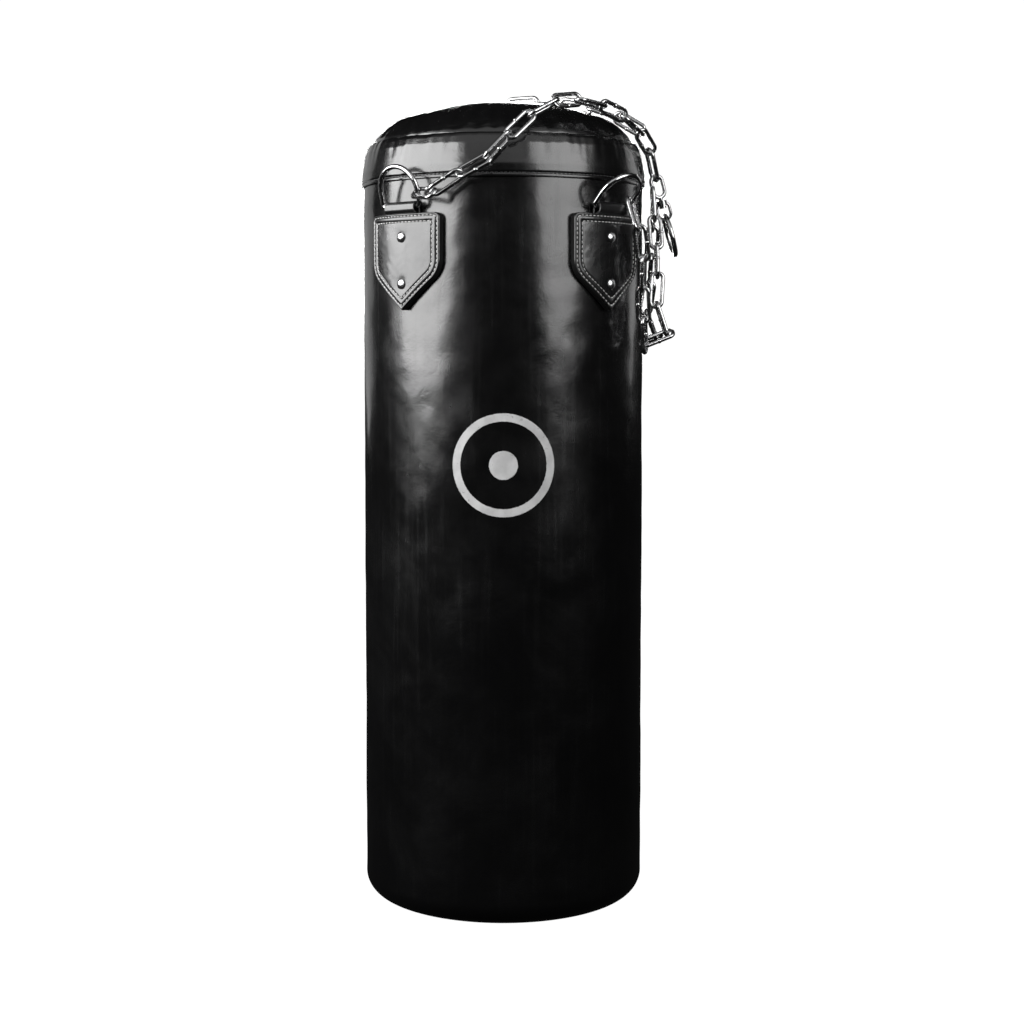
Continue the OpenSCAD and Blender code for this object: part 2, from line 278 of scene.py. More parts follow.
def leather(name, tone, gloss, grain_scale=520, crease=1.0, marks=None, worn=0.0):
    """Coated black leather: grain, soft creases, cloudy gloss, fine scratches and rubbed edges."""
    n = Nodes(name)
    cloud = n.noise(9, 5, 0.6, 0.4)
    fine_cloud = n.noise(46, 4, 0.6)
    scratch = n.noise(3, 3, 0.5, 0.1, n.scaled((60, 60, 2.2)))
    scratches = n.ramp(scratch, 0.50, 0.78)
    grain = n.cells(grain_scale)
    pores = n.noise(grain_scale * 3.4, 2, 0.5)
    folds = n.noise(15, 6, 0.62, 0.9)
    fold_lines = n.math("ABSOLUTE", n.math("SUBTRACT", folds, 0.5))
    fold_groove = n.ramp(fold_lines, 0.0, 0.035)
    wear = n.ramp(n.add("ShaderNodeNewGeometry").outputs["Pointiness"], 0.56, 0.68, 0.0, worn)
    dark = (tone, tone, tone * 1.06, 1)
    light = (tone * 2.2, tone * 2.2, tone * 2.3, 1)
    rubbed = (tone * 7, tone * 7, tone * 7, 1)
    colour = n.mix(n.math("MULTIPLY", cloud, 0.7), dark, light)
    colour = n.mix(wear, colour, rubbed)
    rough = n.math("ADD", n.ramp(cloud, 0.32, 0.68, gloss - 0.04, gloss + 0.07),
                   n.math("MULTIPLY", fine_cloud, 0.06))
    rough = n.math("ADD", rough, n.math("MULTIPLY", scratches, 0.05))
    if marks:
        mask, paint = marks(n)
        colour = n.mix(mask, colour, paint)
        rough = n.math("ADD", rough, n.math("MULTIPLY", mask, 0.18))
    normal = n.bump(n.noise(5.5, 3, 0.5, 0.3), 0.3, 4 * MM)
    normal = n.bump(n.noise(24, 3, 0.55, 0.6), 0.35, 1.4 * MM, normal)
    normal = n.bump(fold_groove, 0.16 * crease, 0.5 * MM, normal)
    normal = n.bump(grain, 0.16, 0.25 * MM, normal)
    normal = n.bump(pores, 0.08, 0.08 * MM, normal)
    n.set(Base_Color=colour, Roughness=rough, Normal=normal, Specular_IOR_Level=0.75,
          Coat_Weight=0.5, Coat_Roughness=0.12)
    return n.material


def target_print(height, outer, stroke, dot):
    """A plain round target printed on the front of the bag: a ring and a dot."""
    def marks(n):
        split = n.add("ShaderNodeSeparateXYZ")
        n.link(n.coords, split.inputs[0])
        turn = n.math("ARCTAN2", split.outputs["X"], n.math("MULTIPLY", split.outputs["Y"], -1.0))
        across = n.math("MULTIPLY", turn, BODY_R)
        up = n.math("SUBTRACT", split.outputs["Z"], height)
        reach = n.math("SQRT", n.math("ADD", n.math("POWER", across, 2.0), n.math("POWER", up, 2.0)))
        ragged = n.math("MULTIPLY", n.math("SUBTRACT", n.noise(420, 3, 0.6), 0.5), 1.2 * MM)
        reach = n.math("ADD", reach, ragged)
        edge = 0.35 * MM
        off_ring = n.math("ABSOLUTE", n.math("SUBTRACT", reach, outer - stroke / 2))
        ring = n.ramp(off_ring, stroke / 2 - edge, stroke / 2 + edge, 1.0, 0.0)
        spot = n.ramp(reach, dot - edge, dot + edge, 1.0, 0.0)
        mask = n.math("MAXIMUM", ring, spot)
        worn = n.ramp(n.noise(160, 5, 0.7), 0.30, 0.40, 0.55, 1.0)
        shade = n.ramp(n.noise(60, 3, 0.5), 0.3, 0.7, 0.0, 1.0)
        paint = n.mix(shade, (0.52, 0.52, 0.52, 1), (0.66, 0.66, 0.66, 1))
        return n.math("MULTIPLY", mask, worn), paint
    return marks


def chrome(name, tone=0.80, rough=0.07):
    """Plated steel: bright, with slight waviness, handling marks and duller patches."""
    n = Nodes(name)
    patch = n.noise(130, 4, 0.6)
    grime = n.ramp(n.noise(45, 5, 0.65, 0.5), 0.56, 0.74)
    fine = n.noise(900, 3, 0.6)
    bright = (tone, tone, tone * 1.01, 1)
    dull = (tone * 0.62, tone * 0.62, tone * 0.63, 1)
    colour = n.mix(n.math("MULTIPLY", grime, 0.7), bright, dull)
    roughness = n.math("ADD", n.ramp(patch, 0.35, 0.7, rough, rough + 0.08),
                       n.math("MULTIPLY", grime, 0.16))
    normal = n.bump(n.noise(210, 2, 0.5), 0.25, 0.5 * MM)
    normal = n.bump(fine, 0.06, 0.1 * MM, normal)
    n.set(Base_Color=colour, Metallic=1.0, Roughness=roughness, Normal=normal)
    return n.material


def thread(name):
    """Waxed off-white thread with a twisted lay."""
    n = Nodes(name)
    wave = n.add("ShaderNodeTexWave", wave_type="BANDS", bands_direction="DIAGONAL")
    wave.inputs["Scale"].default_value = 900
    n.link(n.coords, wave.inputs["Vector"])
    soil = n.noise(90, 4, 0.6)
    colour = n.mix(n.ramp(soil, 0.35, 0.7), (0.55, 0.55, 0.54, 1), (0.80, 0.80, 0.79, 1))
    n.set(Base_Color=colour, Roughness=0.55, Normal=n.bump(wave.outputs["Fac"], 0.5, 0.15 * MM))
    return n.material


def cut_edge(name):
    """Raw cut edge of black leather, with fibres, its colour darkened to near black as painted shade on
    the patch's side walls.
    """
    n = Nodes(name)
    fibres = n.noise(700, 5, 0.7, 0.5, n.scaled((1, 1, 0.35)))
    # Near-black fibre colour: partly the leather's own black, partly painted shade on the padded patch's
    # thick side.
    colour = n.mix(fibres, (0.0015, 0.0015, 0.0016, 1), (0.008, 0.008, 0.008, 1))
    n.set(Base_Color=colour, Roughness=0.72, Normal=n.bump(fibres, 0.5, 0.3 * MM),
          Specular_IOR_Level=0.25)
    return n.material


def textile(name):
    """Packed rag filling."""
    n = Nodes(name)
    weave = n.cells(260)
    rags = n.noise(22, 5, 0.6, 1.2)
    colour = n.mix(rags, (0.22, 0.20, 0.17, 1), (0.55, 0.52, 0.46, 1))
    n.set(Base_Color=colour, Roughness=0.9, Normal=n.bump(weave, 0.5, 0.6 * MM))
    return n.material


PRINT_Z = 553 * MM                  # height of the target's middle
PRINT_R = 61 * MM
PRINT_STROKE = 9.5 * MM
PRINT_DOT = 17 * MM
BODY_LEATHER = leather("body_leather_look", 0.0020, 0.17, 480, 0.15,
                       target_print(PRINT_Z, PRINT_R, PRINT_STROKE, PRINT_DOT))
CAP_LEATHER = leather("cap_leather_look", 0.0024, 0.19, 480, 0.25)
TAB_LEATHER = leather("tab_leather_look", 0.0032, 0.22, 620, 0.2, None, 0.5)
STRAP_LEATHER = leather("strap_leather_look", 0.005, 0.24, 700, 0.2, None, 0.5)
EDGE_LEATHER_PAINTED_SHADE = cut_edge("edge_leather_painted_shade_look")
CHAIN_CHROME = chrome("chain_chrome_look", 0.62, 0.14)
RING_CHROME = chrome("ring_chrome_look", 0.70, 0.10)
SWIVEL_CHROME = chrome("swivel_chrome_look", 0.58, 0.17)
RIVET_STEEL = chrome("rivet_steel_look", 0.72, 0.20)
THREAD = thread("thread_look")
FILLING = textile("textile_filling_look")
DARK_THREAD = leather("dark_thread_look", 0.02, 0.45, 900, 0.4)


# ---------------------------------------------------------------- the leather body

SEAM_TURN = math.pi                 # the body's lap seam runs down the back
SEAM_LAP = 16 * MM


def body_shift(turn, r, z):
    """Packed leather is never a true cylinder: broad swells, soft dents, ripples and a lap seam."""
    wall = smooth_step(z, 2 * MM, 60 * MM)
    under_band = 1 - smooth_step(z, band_low.z - 30 * MM, band_low.z + 2 * MM)
    swell = 0.9 * MM * soft_noise(turn, z, 0.8, 2.2, 1)
    dent = 0.80 * MM * soft_noise(turn, z, 3.0, 9.0, 2)
    ripple = 0.40 * MM * soft_noise(turn, z, 7.0, 34.0, 5)
    from_seam = (turn - SEAM_TURN) * BODY_R
    lap = 1.1 * MM * (smooth_step(from_seam, -SEAM_LAP / 2 - 0.8 * MM, -SEAM_LAP / 2)
                      - smooth_step(from_seam, SEAM_LAP / 2, SEAM_LAP / 2 + 5 * MM))
    return wall * (under_band * (swell + dent + ripple) + 0.8 * lap) - 0.3 * MM * wall, 0.0


def leather_body():
    """Outer face, rounded bottom edge and an inner face, as one closed shell."""
    foot = arc((FOOT_R, FOOT_ROUND), FOOT_ROUND, -90, 0, 26)
    inner = arc((FOOT_R, FOOT_ROUND), FOOT_ROUND - LEATHER, 0, -90, 12)
    outline = foot + [(BODY_R, sleeve_high.z)]
    outline = densify(outline, 3.2 * MM)
    back = densify([(BODY_R - LEATHER, sleeve_high.z)] + inner, 30 * MM)
    piece = lathe("leather_body", outline + back, 420, BODY_LEATHER, body_shift, closed=True)
    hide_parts("leather_sleeve")
    seam = []
    pitch = 5.5 * MM
    for side in (-1, 1):
        for k in range(int((sleeve_high.z - 60 * MM) / pitch)):
            turn = SEAM_TURN + side * 4.2 * MM / BODY_R
            z = 50 * MM + k * pitch
            out, _ = body_shift(turn, BODY_R, z)
            normal = Vector(around(1, turn, 0))
            seam.append((Vector(around(BODY_R + out + 0.25 * MM, turn, z)), Vector((0, 0, 1)), normal))
    stitch_mesh("back_seam_stitches", seam, 4.0 * MM, 1.2 * MM, THREAD)


def base():
    """Flat leather disc, sewn inside the rounded bottom edge, a little hollow in the middle."""
    rim = BASE_R - 0.4 * MM
    outline = [(0.8 * MM, 1.2 * MM)]
    outline += [(rim * t, 1.2 * MM * (1 - t ** 3)) for t in (0.25, 0.5, 0.7, 0.8)]
    outline += densify([(rim * 0.84, 0.3 * MM), (rim - 9 * MM, 0.0)], 4 * MM)
    outline += [(rim - 6.6 * MM, 0.7 * MM), (rim - 4.4 * MM, 0.7 * MM), (rim - 2.4 * MM, 0.0)]
    outline += arc((rim - 1.2 * MM, 1.2 * MM), 1.2 * MM, -90, 80, 8)
    outline += [(rim - 2 * MM, LEATHER - 0.4 * MM), (0.8 * MM, LEATHER - 0.4 * MM)]

    def sag(turn, r, z):
        return 0.0, max(0.0, 0.3 * MM * soft_noise(turn, r * 6, 0.9, 4, 11)) * (r < rim * 0.8)

    piece = lathe("base_disc", outline, 200, CAP_LEATHER, sag)
    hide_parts("base_panel")
    seam = round_seam("base_seam_stitches", rim - 5.5 * MM, 0.55 * MM, 5.5 * MM, 4.0 * MM,
                      1.1 * MM, -math.pi / 2, THREAD)


# ---------------------------------------------------------------- cap band and top panel

def band_profile():
    """Folded lower edge, upright wall, then drawn in over the shoulder to the sewn crease."""
    thick = 2.2 * MM
    top = band_high.z
    wall = [(BAND_R, band_low.z + 16 * MM), (BAND_R - 2 * MM, band_low.z + 28 * MM),
            (BAND_R - 4.5 * MM, band_low.z + 41 * MM), (BAND_R - 7.4 * MM, top - 4.6 * MM),
            (BAND_R - 9.4 * MM, top - 1.6 * MM), (BAND_R - 11.6 * MM, top - 0.3 * MM),
            (BAND_R - 13.4 * MM, top - 1.6 * MM)]
    hem = arc((BAND_R - thick / 2, band_low.z + thick / 2), thick / 2, 180, 360, 9)
    groove = [(BAND_R + 0.1 * MM, band_low.z + 3.0 * MM), (BAND_R - 0.7 * MM, band_low.z + 4.4 * MM),
              (BAND_R - 0.7 * MM, band_low.z + 5.2 * MM), (BAND_R + 0.15 * MM, band_low.z + 6.8 * MM)]
    back = [(BAND_R - 13.6 * MM, top - 3.4 * MM), (BAND_R - 9.6 * MM, top - 5.2 * MM),
            (BAND_R - thick, band_low.z + 14 * MM)]
    return densify(hem + groove + wall, 1.6 * MM) + densify(back, 6 * MM)


def band_shift(turn, r, z):
    """Puckers that fan out from the crease, and a lightly wavy hem."""
    rise = smooth_step(z, band_low.z + 12 * MM, band_high.z)
    pucker = soft_noise(turn, z, 9.0, 6.0, 21) + 0.6 * soft_noise(turn, z, 21.0, 10.0, 22)
    swell = soft_noise(turn, z, 1.6, 10.0, 23)
    hem = 0.35 * MM * soft_noise(turn, 0.3, 6.0, 1.0, 24) * (1 - rise)
    return (0.9 * rise * pucker + 0.55 * swell) * MM - 0.2 * MM, hem + 0.5 * MM * rise * pucker


def cap_band():
    piece = lathe("cap_band_leather", band_profile(), 480, CAP_LEATHER, band_shift, closed=True)
    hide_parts("cap_band")
    height = band_low.z + 4.8 * MM
    spots = []
    count = round(TAU * BAND_R / (5.4 * MM))
    for i in range(count):
        turn = TAU * (i + 0.5) / count
        out, up = band_shift(turn, BAND_R, height)
        way = Vector((math.cos(turn), math.sin(turn), 0))
        spots.append((Vector(around(BAND_R + out - 0.45 * MM, turn, height + up)), way,
                      Vector(around(1, turn, 0))))
    stitches = stitch_mesh("cap_band_stitches", spots, 3.9 * MM, 1.0 * MM, DARK_THREAD)


def panel_outline(drop):
    """Crown, rounded edge and tucked skirt of the top panel, lowered by drop at the middle."""
    edge_r = 38 * MM
    edge_x = PANEL_R - edge_r + 1.3 * MM
    edge_z = DOME_Z + math.sqrt((DOME_R - edge_r) ** 2 - edge_x ** 2)
    meet = math.degrees(math.atan2(edge_z - DOME_Z, edge_x))
    crown = arc((0, DOME_Z), DOME_R, 89.85, meet, 60)
    edge = arc((edge_x, edge_z), edge_r, meet, 14, 22)
    skirt = [(PANEL_R - 0.2 * MM, panel_low.z + 8 * MM), (PANEL_R - 0.4 * MM, panel_low.z + 2 * MM)]
    outline = [(min(r, PANEL_R - 0.1 * MM), z) for r, z in crown + edge[1:]] + skirt
    return [(r, z - drop * (1 - (r / PANEL_R) ** 2)) for r, z in outline]


def inflate(piece, held, pressure, spare, cap, frames=14):
    """Cloth simulation: the piece swells under pressure, with spare fabric to wrinkle, and is applied."""
    start = np.array([v.co for v in piece.data.vertices])
    group = piece.vertex_groups.new(name="held")
    for index in held:
        group.add([int(index)], 1.0, "REPLACE")
    cloth = piece.modifiers.new("cloth", "CLOTH")
    settings = cloth.settings
    settings.quality = 6
    settings.mass = 0.6
    settings.tension_stiffness = 60
    settings.compression_stiffness = 60
    settings.shear_stiffness = 30
    settings.bending_stiffness = 6
    settings.use_pressure = True
    settings.uniform_pressure_force = pressure
    settings.shrink_min = -spare
    settings.vertex_group_mass = "held"
    settings.effector_weights.gravity = 0
    cloth.collision_settings.use_collision = False
    cloth.point_cache.frame_start = 1
    cloth.point_cache.frame_end = frames
    scene = bpy.context.scene
    scene.frame_start = 1
    scene.frame_end = frames
    for step in range(1, frames + 1):
        scene.frame_set(step)
    shaped = piece.evaluated_get(bpy.context.evaluated_depsgraph_get())
    end = np.array([v.co for v in shaped.data.vertices])
    piece.modifiers.remove(cloth)
    scene.frame_set(1)
    moved = end - start
    reach = np.linalg.norm(moved, axis=1, keepdims=True)
    moved *= np.minimum(1.0, cap / np.maximum(reach, 1e-9))
    piece.data.vertices.foreach_set("co", (start + moved).ravel())
    piece.data.update()


def panel_shift(turn, r, z):
    """Gathers that start at the crease and die out towards the crown."""
    gather = smooth_step(r, 0.55 * PANEL_R, 0.96 * PANEL_R)
    fold = soft_noise(turn, r, 13.0, 9.0, 31) + 0.5 * soft_noise(turn, r, 27.0, 14.0, 32)
    swell = soft_noise(turn, r * 3, 1.2, 4.0, 33)
    return 0.0, (1.3 * gather * fold + 1.1 * swell * (1 - gather)) * MM


def top_panel():
    outline = densify(panel_outline(3.5 * MM), 4.5 * MM)
    outline[0] = (1.0 * MM, outline[0][1])
    piece = lathe("top_panel_leather", outline[::-1], 220, CAP_LEATHER, panel_shift)
    radii = np.array([math.hypot(v.co.x, v.co.y) for v in piece.data.vertices])
    heights = np.array([v.co.z for v in piece.data.vertices])
    held = np.nonzero((radii > PANEL_R - 2.5 * MM) | (heights < panel_low.z + 16 * MM))[0]
    inflate(piece, held, 2.2, 0.012, 2.5 * MM)
    shell = piece.modifiers.new("thickness", "SOLIDIFY")
    shell.thickness = 2.4 * MM
    shell.offset = -1
    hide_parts("top_panel")


def packed_filling():
    """Hidden inside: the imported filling, lumpy where it presses on the leather."""
    low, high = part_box("filling")
    r = high.x - 1.5 * MM
    outline = [(1 * MM, low.z + 1 * MM)] + arc((FOOT_R - 2 * MM, low.z + 24 * MM), 22 * MM, -90, 0, 8)
    outline += densify([(r, 60 * MM), (r, 895 * MM)], 22 * MM) + [(r - 12 * MM, 915 * MM)]
    crown = [(t * 140 * MM, high.z - 6 * MM - 30 * MM * t * t) for t in (1.0, 0.8, 0.6, 0.4, 0.2)]
    outline += crown + [(1 * MM, high.z - 6 * MM)]
    outline[1:9] = [(min(x, r), z) for x, z in outline[1:9]]
    piece = lathe("packed_filling", outline, 90, FILLING,
                  lambda turn, x, z: (-abs(soft_noise(turn, z, 6, 20, 41)) * 1.6 * MM * (x > 50 * MM), 0))
    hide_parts("filling")


# ---------------------------------------------------------------- tabs: patches, straps, rivets

PATCH_TOP = patch_high.z
PATCH_POINT = patch_low.z
PATCH_H = PATCH_TOP - PATCH_POINT
PATCH_W = 108 * MM
PATCH_SIDE = 55 * MM
PATCH_IN = BODY_R + 0.3 * MM
PATCH_T = 9.0 * MM
STITCH_ROWS = (3.3 * MM, 10.0 * MM)
RIVET_Z = (PATCH_POINT + 31 * MM, PATCH_POINT + 86 * MM)


def tab_turn(tab):
    """Compass turn of a tab, read from its D-ring's hinge."""
    x, y, _ = JOINTS[tab + "_d_ring_hinge"]["pos_m"]
    return math.atan2(x, -y)


def shield_outline(inset, spacing):
    """Points (across, z) of the shield shape, inset from its edge, at an even spacing."""
    half = PATCH_W / 2 - inset
    top = PATCH_TOP - inset
    round_top = max(1.5 * MM, 7 * MM - 0.6 * inset)
    turn_r = 30 * MM - 0.5 * inset
    shoulder = PATCH_TOP - PATCH_SIDE
    centre = Vector((half - turn_r, shoulder))
    tip_drop = (PATCH_TOP - PATCH_SIDE - PATCH_POINT) - inset * 1.36
    tip = Vector((0.0, shoulder - tip_drop))
    reach = centre - tip
    lean = math.atan2(reach.y, reach.x) - math.asin(turn_r / reach.length)
    right = [(half - round_top + round_top * math.sin(a), top - round_top + round_top * math.cos(a))
             for a in np.linspace(0, math.pi / 2, 10)]
    right += [(centre.x + turn_r * math.cos(a), centre.y + turn_r * math.sin(a))
              for a in np.linspace(0, lean - math.pi / 2, 14)]
    right.append((tip.x, tip.y))
    left = [(-x, z) for x, z in right[-2::-1]]
    outline = right + left
    outline.append(outline[0])
    points = np.array(outline)
    runs = np.concatenate([[0], np.cumsum(np.linalg.norm(np.diff(points, axis=0), axis=1))])
    count = round(runs[-1] / spacing)
    marks = np.linspace(0, runs[-1], count, endpoint=False)
    even = np.stack([np.interp(marks, runs, points[:, k]) for k in (0, 1)], axis=1)
    return even


def to_edge(points, edge):
    """Distance of each point to a closed outline."""
    a = edge
    b = np.roll(edge, -1, axis=0)
    span = b - a
    best = np.full(len(points), 1.0)
    for start, way in zip(a, span):
        t = np.clip(((points - start) @ way) / (way @ way), 0, 1)
        best = np.minimum(best, np.linalg.norm(points - (start + t[:, None] * way), axis=1))
    return best


def near_edge(points):
    """How much of the shield's outline is close by: about 1 at its straight sides, 0 inside."""
    fade = 7 * MM
    outline = shield_outline(0.0, 3 * MM)
    total = np.zeros(len(points))
    for corner in outline:
        total += np.exp(-np.linalg.norm(points - corner, axis=1) / fade)
    return total / 4.0


def patch_height(across, z, edge, seed):
    """Height of the padded patch over the bag's wall, edge is the distance to its outline."""
    rounding = 1.6 * MM
    rim = np.clip(edge / rounding, 0, 1)
    height = PATCH_T - rounding * (1 - np.sqrt(1 - (1 - rim) ** 2))
    for row in STITCH_ROWS:
        height -= 0.75 * MM * np.exp(-((edge - row) / (0.8 * MM)) ** 2)
    between = (STITCH_ROWS[0] + STITCH_ROWS[1]) / 2
    height += 0.35 * MM * np.exp(-((edge - between) / (1.5 * MM)) ** 2)
    height += 0.8 * MM * np.exp(-0.5 * near_edge(np.stack([across, z], axis=1)))
    for rivet in RIVET_Z:
        reach = np.hypot(across, z - rivet)
        height -= 1.1 * MM * np.exp(-(reach / (7.5 * MM)) ** 2)
    lumps = np.array([noise.noise(Vector((x * 42, y * 42, seed))) for x, y in zip(across, z)])
    fine = np.array([noise.noise(Vector((x * 160, y * 160, seed + 9))) for x, y in zip(across, z)])
    return height + (0.30 * lumps + 0.08 * fine) * MM * np.clip(edge / (6 * MM), 0, 1)


def on_wall(turn, across, z, radius):
    return around(radius, turn + across / (BODY_R + 6 * MM), z)


def tab_patch(tab, seed):
    """Padded shield patch: two layers of leather, raw edges, two sewn rows."""
    turn = tab_turn(tab)
    edge = shield_outline(0.0, 1.5 * MM)
    count = len(edge)
    centre = np.array([0.0, PATCH_TOP - 0.42 * PATCH_H])
    points, faces = [], []
    wall = [(0.0, 0.0), (2.6, 0.0), (3.0, -0.45), (3.4, 0.0), (5.0, 0.05), (5.5, -0.5), (5.9, 0.0)]
    for up, out in wall:
        for x, z in edge:
            away = np.array([x, z]) - centre
            away = away / np.linalg.norm(away)
            px, pz = np.array([x, z]) + away * out * MM
            points.append(on_wall(turn, px, pz, PATCH_IN + up * MM))
    insets = [0.0, 0.15, 0.4, 0.8, 1.4] + [1.4 + 0.75 * k for k in range(1, 19)]
    widest = PATCH_W / 2 / MM
    sizes = [1 - inset / widest for inset in insets]
    sizes += [sizes[-1] * (1 - k / 24) for k in range(1, 24)]
    rings = [centre + (edge - centre) * size for size in sizes]
    flat = np.concatenate(rings)
    height = patch_height(flat[:, 0], flat[:, 1], to_edge(flat, edge), seed)
    points += [on_wall(turn, x, z, PATCH_IN + h) for (x, z), h in zip(flat, height)]
    total = len(wall) + len(rings)
    faces += ring_faces(total, count)
    middle = len(points)
    points.append(on_wall(turn, centre[0], centre[1], PATCH_IN + float(height[-count:].mean())))
    low = (total - 1) * count
    faces += [(low + i, low + (i + 1) % count, middle) for i in range(count)]
    faces.append(tuple(range(count))[::-1])
    piece = mesh_object(tab + "_patch", points, faces, TAB_LEATHER)
    # The patch's side walls take the edge leather, whose near-black colour is partly painted shade.
    piece.data.materials.append(EDGE_LEATHER_PAINTED_SHADE)
    for polygon in piece.data.polygons:
        if polygon.index < len(wall) * count:
            polygon.material_index = 1
    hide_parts("tab_patches")
    stitches(tab, turn, edge, seed)


def stitches(tab, turn, edge, seed):
    """Two rows of thread round the patch, with the needle holes between the stitches."""
    sewn, holes = [], []
    for row in STITCH_ROWS:
        seam = shield_outline(row, 5.4 * MM)
        ahead = np.roll(seam, -1, axis=0) - seam
        middle = (np.roll(seam, -1, axis=0) + seam) / 2
        for spots, places, lift in ((sewn, middle, 0.34), (holes, seam, -0.02)):
            height = patch_height(places[:, 0], places[:, 1], to_edge(places, edge), seed)
            for (x, z), (dx, dz), h in zip(places, ahead, height):
                angle = turn + x / (BODY_R + 6 * MM)
                sideways = Vector((math.cos(angle), math.sin(angle), 0))
                way = (sideways * dx + Vector((0, 0, dz))).normalized()
                centre = Vector(on_wall(turn, x, z, PATCH_IN + h + lift * MM))
                spots.append((centre, way, Vector(around(1, angle, 0))))
    for name, spots, length, width, material in (
            ("_patch_stitches", sewn, 4.1 * MM, 1.35 * MM, THREAD),
            ("_patch_needle_holes", holes, 1.5 * MM, 1.0 * MM, EDGE_LEATHER_PAINTED_SHADE)):
        stitch_mesh(tab + name, spots, length, width, material)


def hanger_strap(tab, seed):
    """Doubled strap that comes out of the patch, loops round the D-ring's bar and goes back in."""
    x, y, bar_z = JOINTS[tab + "_d_ring_hinge"]["pos_m"]
    bar_r = math.hypot(x, y)
    turn = tab_turn(tab)
    loop_r = 4.75 * MM
    half_w = 23.5 * MM
    back = BODY_R + 2.0 * MM
    front = back + 3.0 * MM
    path = [(back, 795 * MM), (back, 825 * MM), (back, bar_z - 6 * MM)]
    path += arc((bar_r, bar_z), loop_r, 176, 6, 20)
    path += [(bar_r + loop_r, bar_z - 4.4 * MM), (bar_r + loop_r - 1.4 * MM, bar_z - 6.6 * MM)]
    path += [(front + 1.6 * MM, bar_z - 8.4 * MM), (front, bar_z - 11 * MM), (front, 795 * MM)]
    path = densify(path, 1.6 * MM)
    steps = 30
    points, faces = [], []
    for k, (r, z) in enumerate(path):
        for i in range(steps + 1):
            across = (2 * i / steps - 1) * half_w
            rub = 0.18 * MM * noise.noise(Vector((across * 60, z * 60 + k * 0.01, seed)))
            points.append(on_strap(turn, across, r + rub, z))
    for k in range(len(path) - 1):
        for i in range(steps):
            low = k * (steps + 1) + i
            faces.append((low, low + 1, low + steps + 2, low + steps + 1))
    piece = mesh_object(tab + "_strap", points, faces, STRAP_LEATHER)
    shell = piece.modifiers.new("thickness", "SOLIDIFY")
    shell.thickness = 2.5 * MM
    shell.offset = 0
    edge = piece.modifiers.new("edge", "BEVEL")
    edge.width = 0.45 * MM
    edge.segments = 2
    edge.angle_limit = math.radians(50)
    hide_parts("hanger_straps")


def on_strap(turn, across, r, z):
    """The strap is flat across, so that its eye fits the straight bar of the D-ring."""
    out = Vector(around(1, turn, 0))
    side = Vector((math.cos(turn), math.sin(turn), 0))
    return out * r + side * across + Vector((0, 0, z))


# ---------------------------------------------------------------- metal

def finish_metal():
    """The chains, rings and rivets keep their CAD shape and get plated steel."""
    looks = {"rivets": RIVET_STEEL, "hang_ring": RING_CHROME, "swivel_eye": SWIVEL_CHROME,
             "swivel_body": SWIVEL_CHROME, "master_link": CHAIN_CHROME}
    for name, node in frame["nodes"].items():
        look = looks.get(name)
        if name.endswith("_d_ring"):
            look = RING_CHROME
        elif "_link_" in name:
            look = CHAIN_CHROME
        if look:
            node.data.materials.clear()
            node.data.materials.append(look)
            node.data.polygons.foreach_set("use_smooth", [True] * len(node.data.polygons))


# ---------------------------------------------------------------- stage

def stage():
    """Pale floor that sweeps up behind, the soft boxes and the camera."""
    n = Nodes("floor_look")
    n.tree.nodes.remove(n.shader)
    path = n.add("ShaderNodeLightPath")
    diffuse = n.add("ShaderNodeBsdfDiffuse")
    diffuse.inputs["Color"].default_value = (0.9, 0.9, 0.9, 1)
    glow = n.add("ShaderNodeEmission")
    glow.inputs["Strength"].default_value = FLOOR_GLOW
    seen = n.add("ShaderNodeMixShader")
    seen.inputs[0].default_value = 0.9
    n.link(diffuse.outputs[0], seen.inputs[1])
    n.link(glow.outputs[0], seen.inputs[2])
    dim = n.add("ShaderNodeEmission")
    dim.inputs["Strength"].default_value = FLOOR_DIM
    pick = n.add("ShaderNodeMixShader")
    n.link(path.outputs["Is Camera Ray"], pick.inputs[0])
    n.link(dim.outputs[0], pick.inputs[1])
    n.link(seen.outputs[0], pick.inputs[2])
    n.link(pick.outputs[0], n.tree.nodes["Material Output"].inputs["Surface"])
    sweep = [(-6.0, 0.0), (3.2, 0.0)] + [(3.2 + 1.8 * math.sin(a), 1.8 - 1.8 * math.cos(a))
                                         for a in np.linspace(0.1, math.pi / 2, 14)] + [(5.0, 7.0)]
    points = [(x, y, z) for y, z in sweep for x in (-9.0, 9.0)]
    faces = [(2 * k, 2 * k + 1, 2 * k + 3, 2 * k + 2) for k in range(len(sweep) - 1)]
    mesh = bpy.data.meshes.new("floor")
    mesh.from_pydata(points, [], faces)
    mesh.polygons.foreach_set("use_smooth", [True] * len(faces))
    mesh.materials.append(n.material)
    floor = bpy.data.objects.new("floor", mesh)
    bpy.context.scene.collection.objects.link(floor)

    studio_air()
    for name, turn, distance, height, width, tall, power in LIGHTS:
        light = bpy.data.lights.new(name, "AREA")
        light.shape = "ELLIPSE"
        light.size = width
        light.size_y = tall
        light.energy = power
        lamp = bpy.data.objects.new(name, light)
        lamp.location = around(distance, math.radians(turn), height)
        aim = Vector((0, 0, min(height, LIGHT_AIM))) - lamp.location
        lamp.rotation_euler = aim.to_track_quat("-Z", "Y").to_euler()
        lamp.visible_camera = False
        bpy.context.scene.collection.objects.link(lamp)

    camera = bpy.data.cameras.new("camera")
    camera.sensor_width = 36.0
    camera.lens = LENS
    camera.shift_x, camera.shift_y = LENS_SHIFT
    eye = bpy.data.objects.new("camera", camera)
    eye.location = CAMERA_AT
    eye.rotation_euler = (math.radians(90 - CAMERA_TILT), 0, 0)
    bpy.context.scene.collection.objects.link(eye)
    bpy.context.scene.camera = eye
    bpy.context.scene.view_settings.view_transform = "Standard"


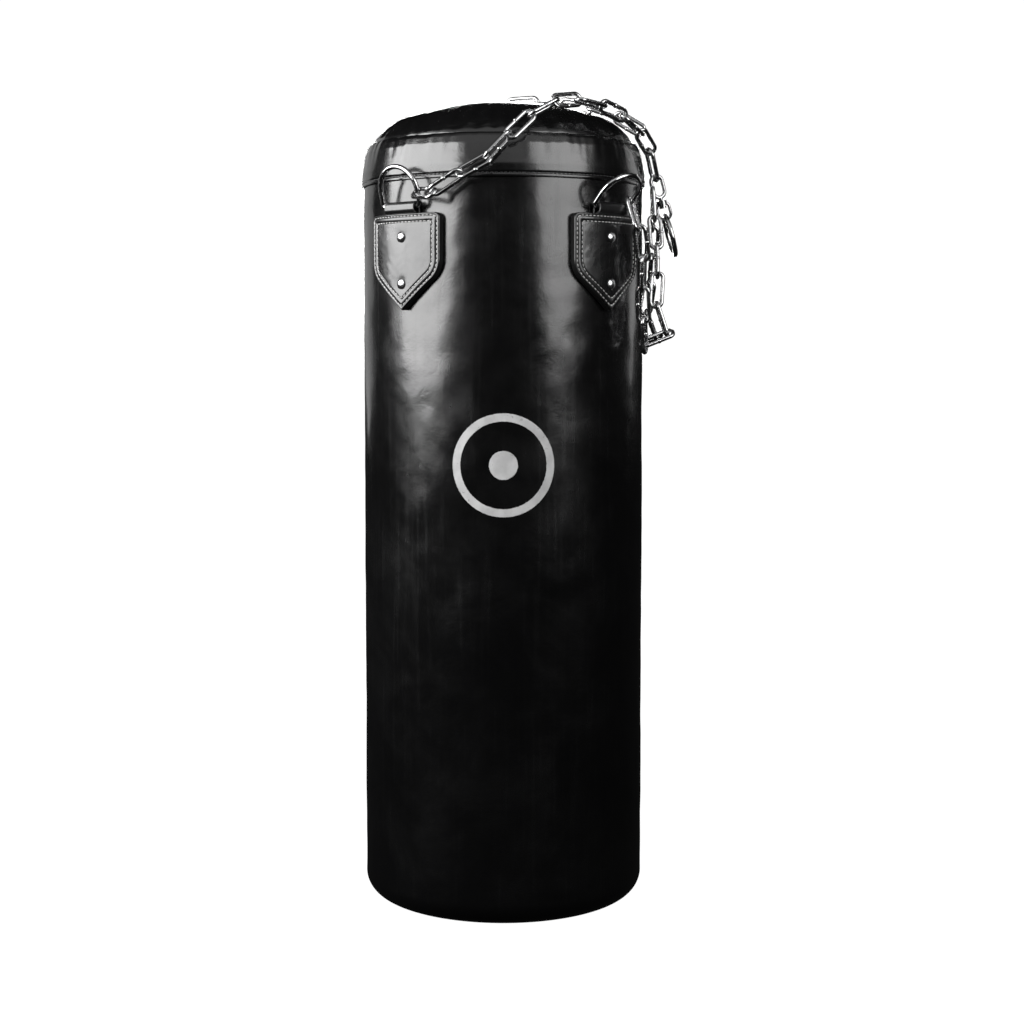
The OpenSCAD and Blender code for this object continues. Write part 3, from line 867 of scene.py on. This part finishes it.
def studio_air():
    """White to the camera. To the object: a dim room, brighter in front and overhead."""
    world = bpy.data.worlds.new("studio")
    world.use_nodes = True
    tree = world.node_tree
    back = tree.nodes["Background"]
    path = tree.nodes.new("ShaderNodeLightPath")
    coords = tree.nodes.new("ShaderNodeTexCoord")
    split = tree.nodes.new("ShaderNodeSeparateXYZ")
    tree.links.new(coords.outputs["Generated"], split.inputs[0])
    levels = []
    for axis, low, high, start, end in (("Z", 0.12, 0.55, 0.0, 1.0), ("Y", -0.7, 0.15, 1.0, 0.0)):
        ramp = tree.nodes.new("ShaderNodeMapRange")
        ramp.interpolation_type = "SMOOTHSTEP"
        for socket, value in (("From Min", low), ("From Max", high), ("To Min", start), ("To Max", end)):
            ramp.inputs[socket].default_value = value
        tree.links.new(split.outputs[axis], ramp.inputs["Value"])
        levels.append(ramp.outputs["Result"])
    lit = tree.nodes.new("ShaderNodeMath")
    lit.operation = "MULTIPLY"
    tree.links.new(levels[0], lit.inputs[0])
    tree.links.new(levels[1], lit.inputs[1])
    level = tree.nodes.new("ShaderNodeMapRange")
    level.inputs["To Min"].default_value = AIR_DIM
    level.inputs["To Max"].default_value = AIR_BRIGHT
    tree.links.new(lit.outputs[0], level.inputs["Value"])
    pick = tree.nodes.new("ShaderNodeMix")
    tree.links.new(path.outputs["Is Camera Ray"], pick.inputs[0])
    tree.links.new(level.outputs["Result"], pick.inputs[2])
    pick.inputs[3].default_value = 1.0
    tree.links.new(pick.outputs[0], back.inputs["Strength"])
    back.inputs["Color"].default_value = (1, 1, 1, 1)
    bpy.context.scene.world = world


FLOOR_GLOW = 1.12                   # what the camera sees of the floor
FLOOR_DIM = 0.006                   # what the bag's gloss sees of it, so its foot stays dark
AIR_DIM = 0.008
AIR_BRIGHT = 0.55
LIGHT_AIM = 0.75                    # highest point that a soft box is turned to
LENS = 63.5
LENS_SHIFT = (0.0084, -0.05)
CAMERA_AT = (0, -2.2867, 0.6843)
CAMERA_TILT = 3.41                  # degrees down from level
# name, compass turn, distance, height, width, height of the box, watts
LIGHTS = (
    ("softbox_left", -68, 1.9, 1.33, 2.7, 1.58, 68),
    ("softbox_right", 46, 1.9, 1.40, 1.6, 1.45, 19),
    ("edge_left", -146, 2.2, 1.15, 1.5, 1.4, 2.2),
    ("rim_right", 128, 2.0, 1.2, 0.7, 1.2, 1.6),
    ("rear", 180, 2.9, 1.15, 1.5, 1.4, 60),
)


def build():
    leather_body()
    base()
    cap_band()
    top_panel()
    packed_filling()
    for seed, tab in enumerate(TABS):
        tab_patch(tab, 50 + seed)
        hanger_strap(tab, 60 + seed)
    finish_metal()
    stage()


build()
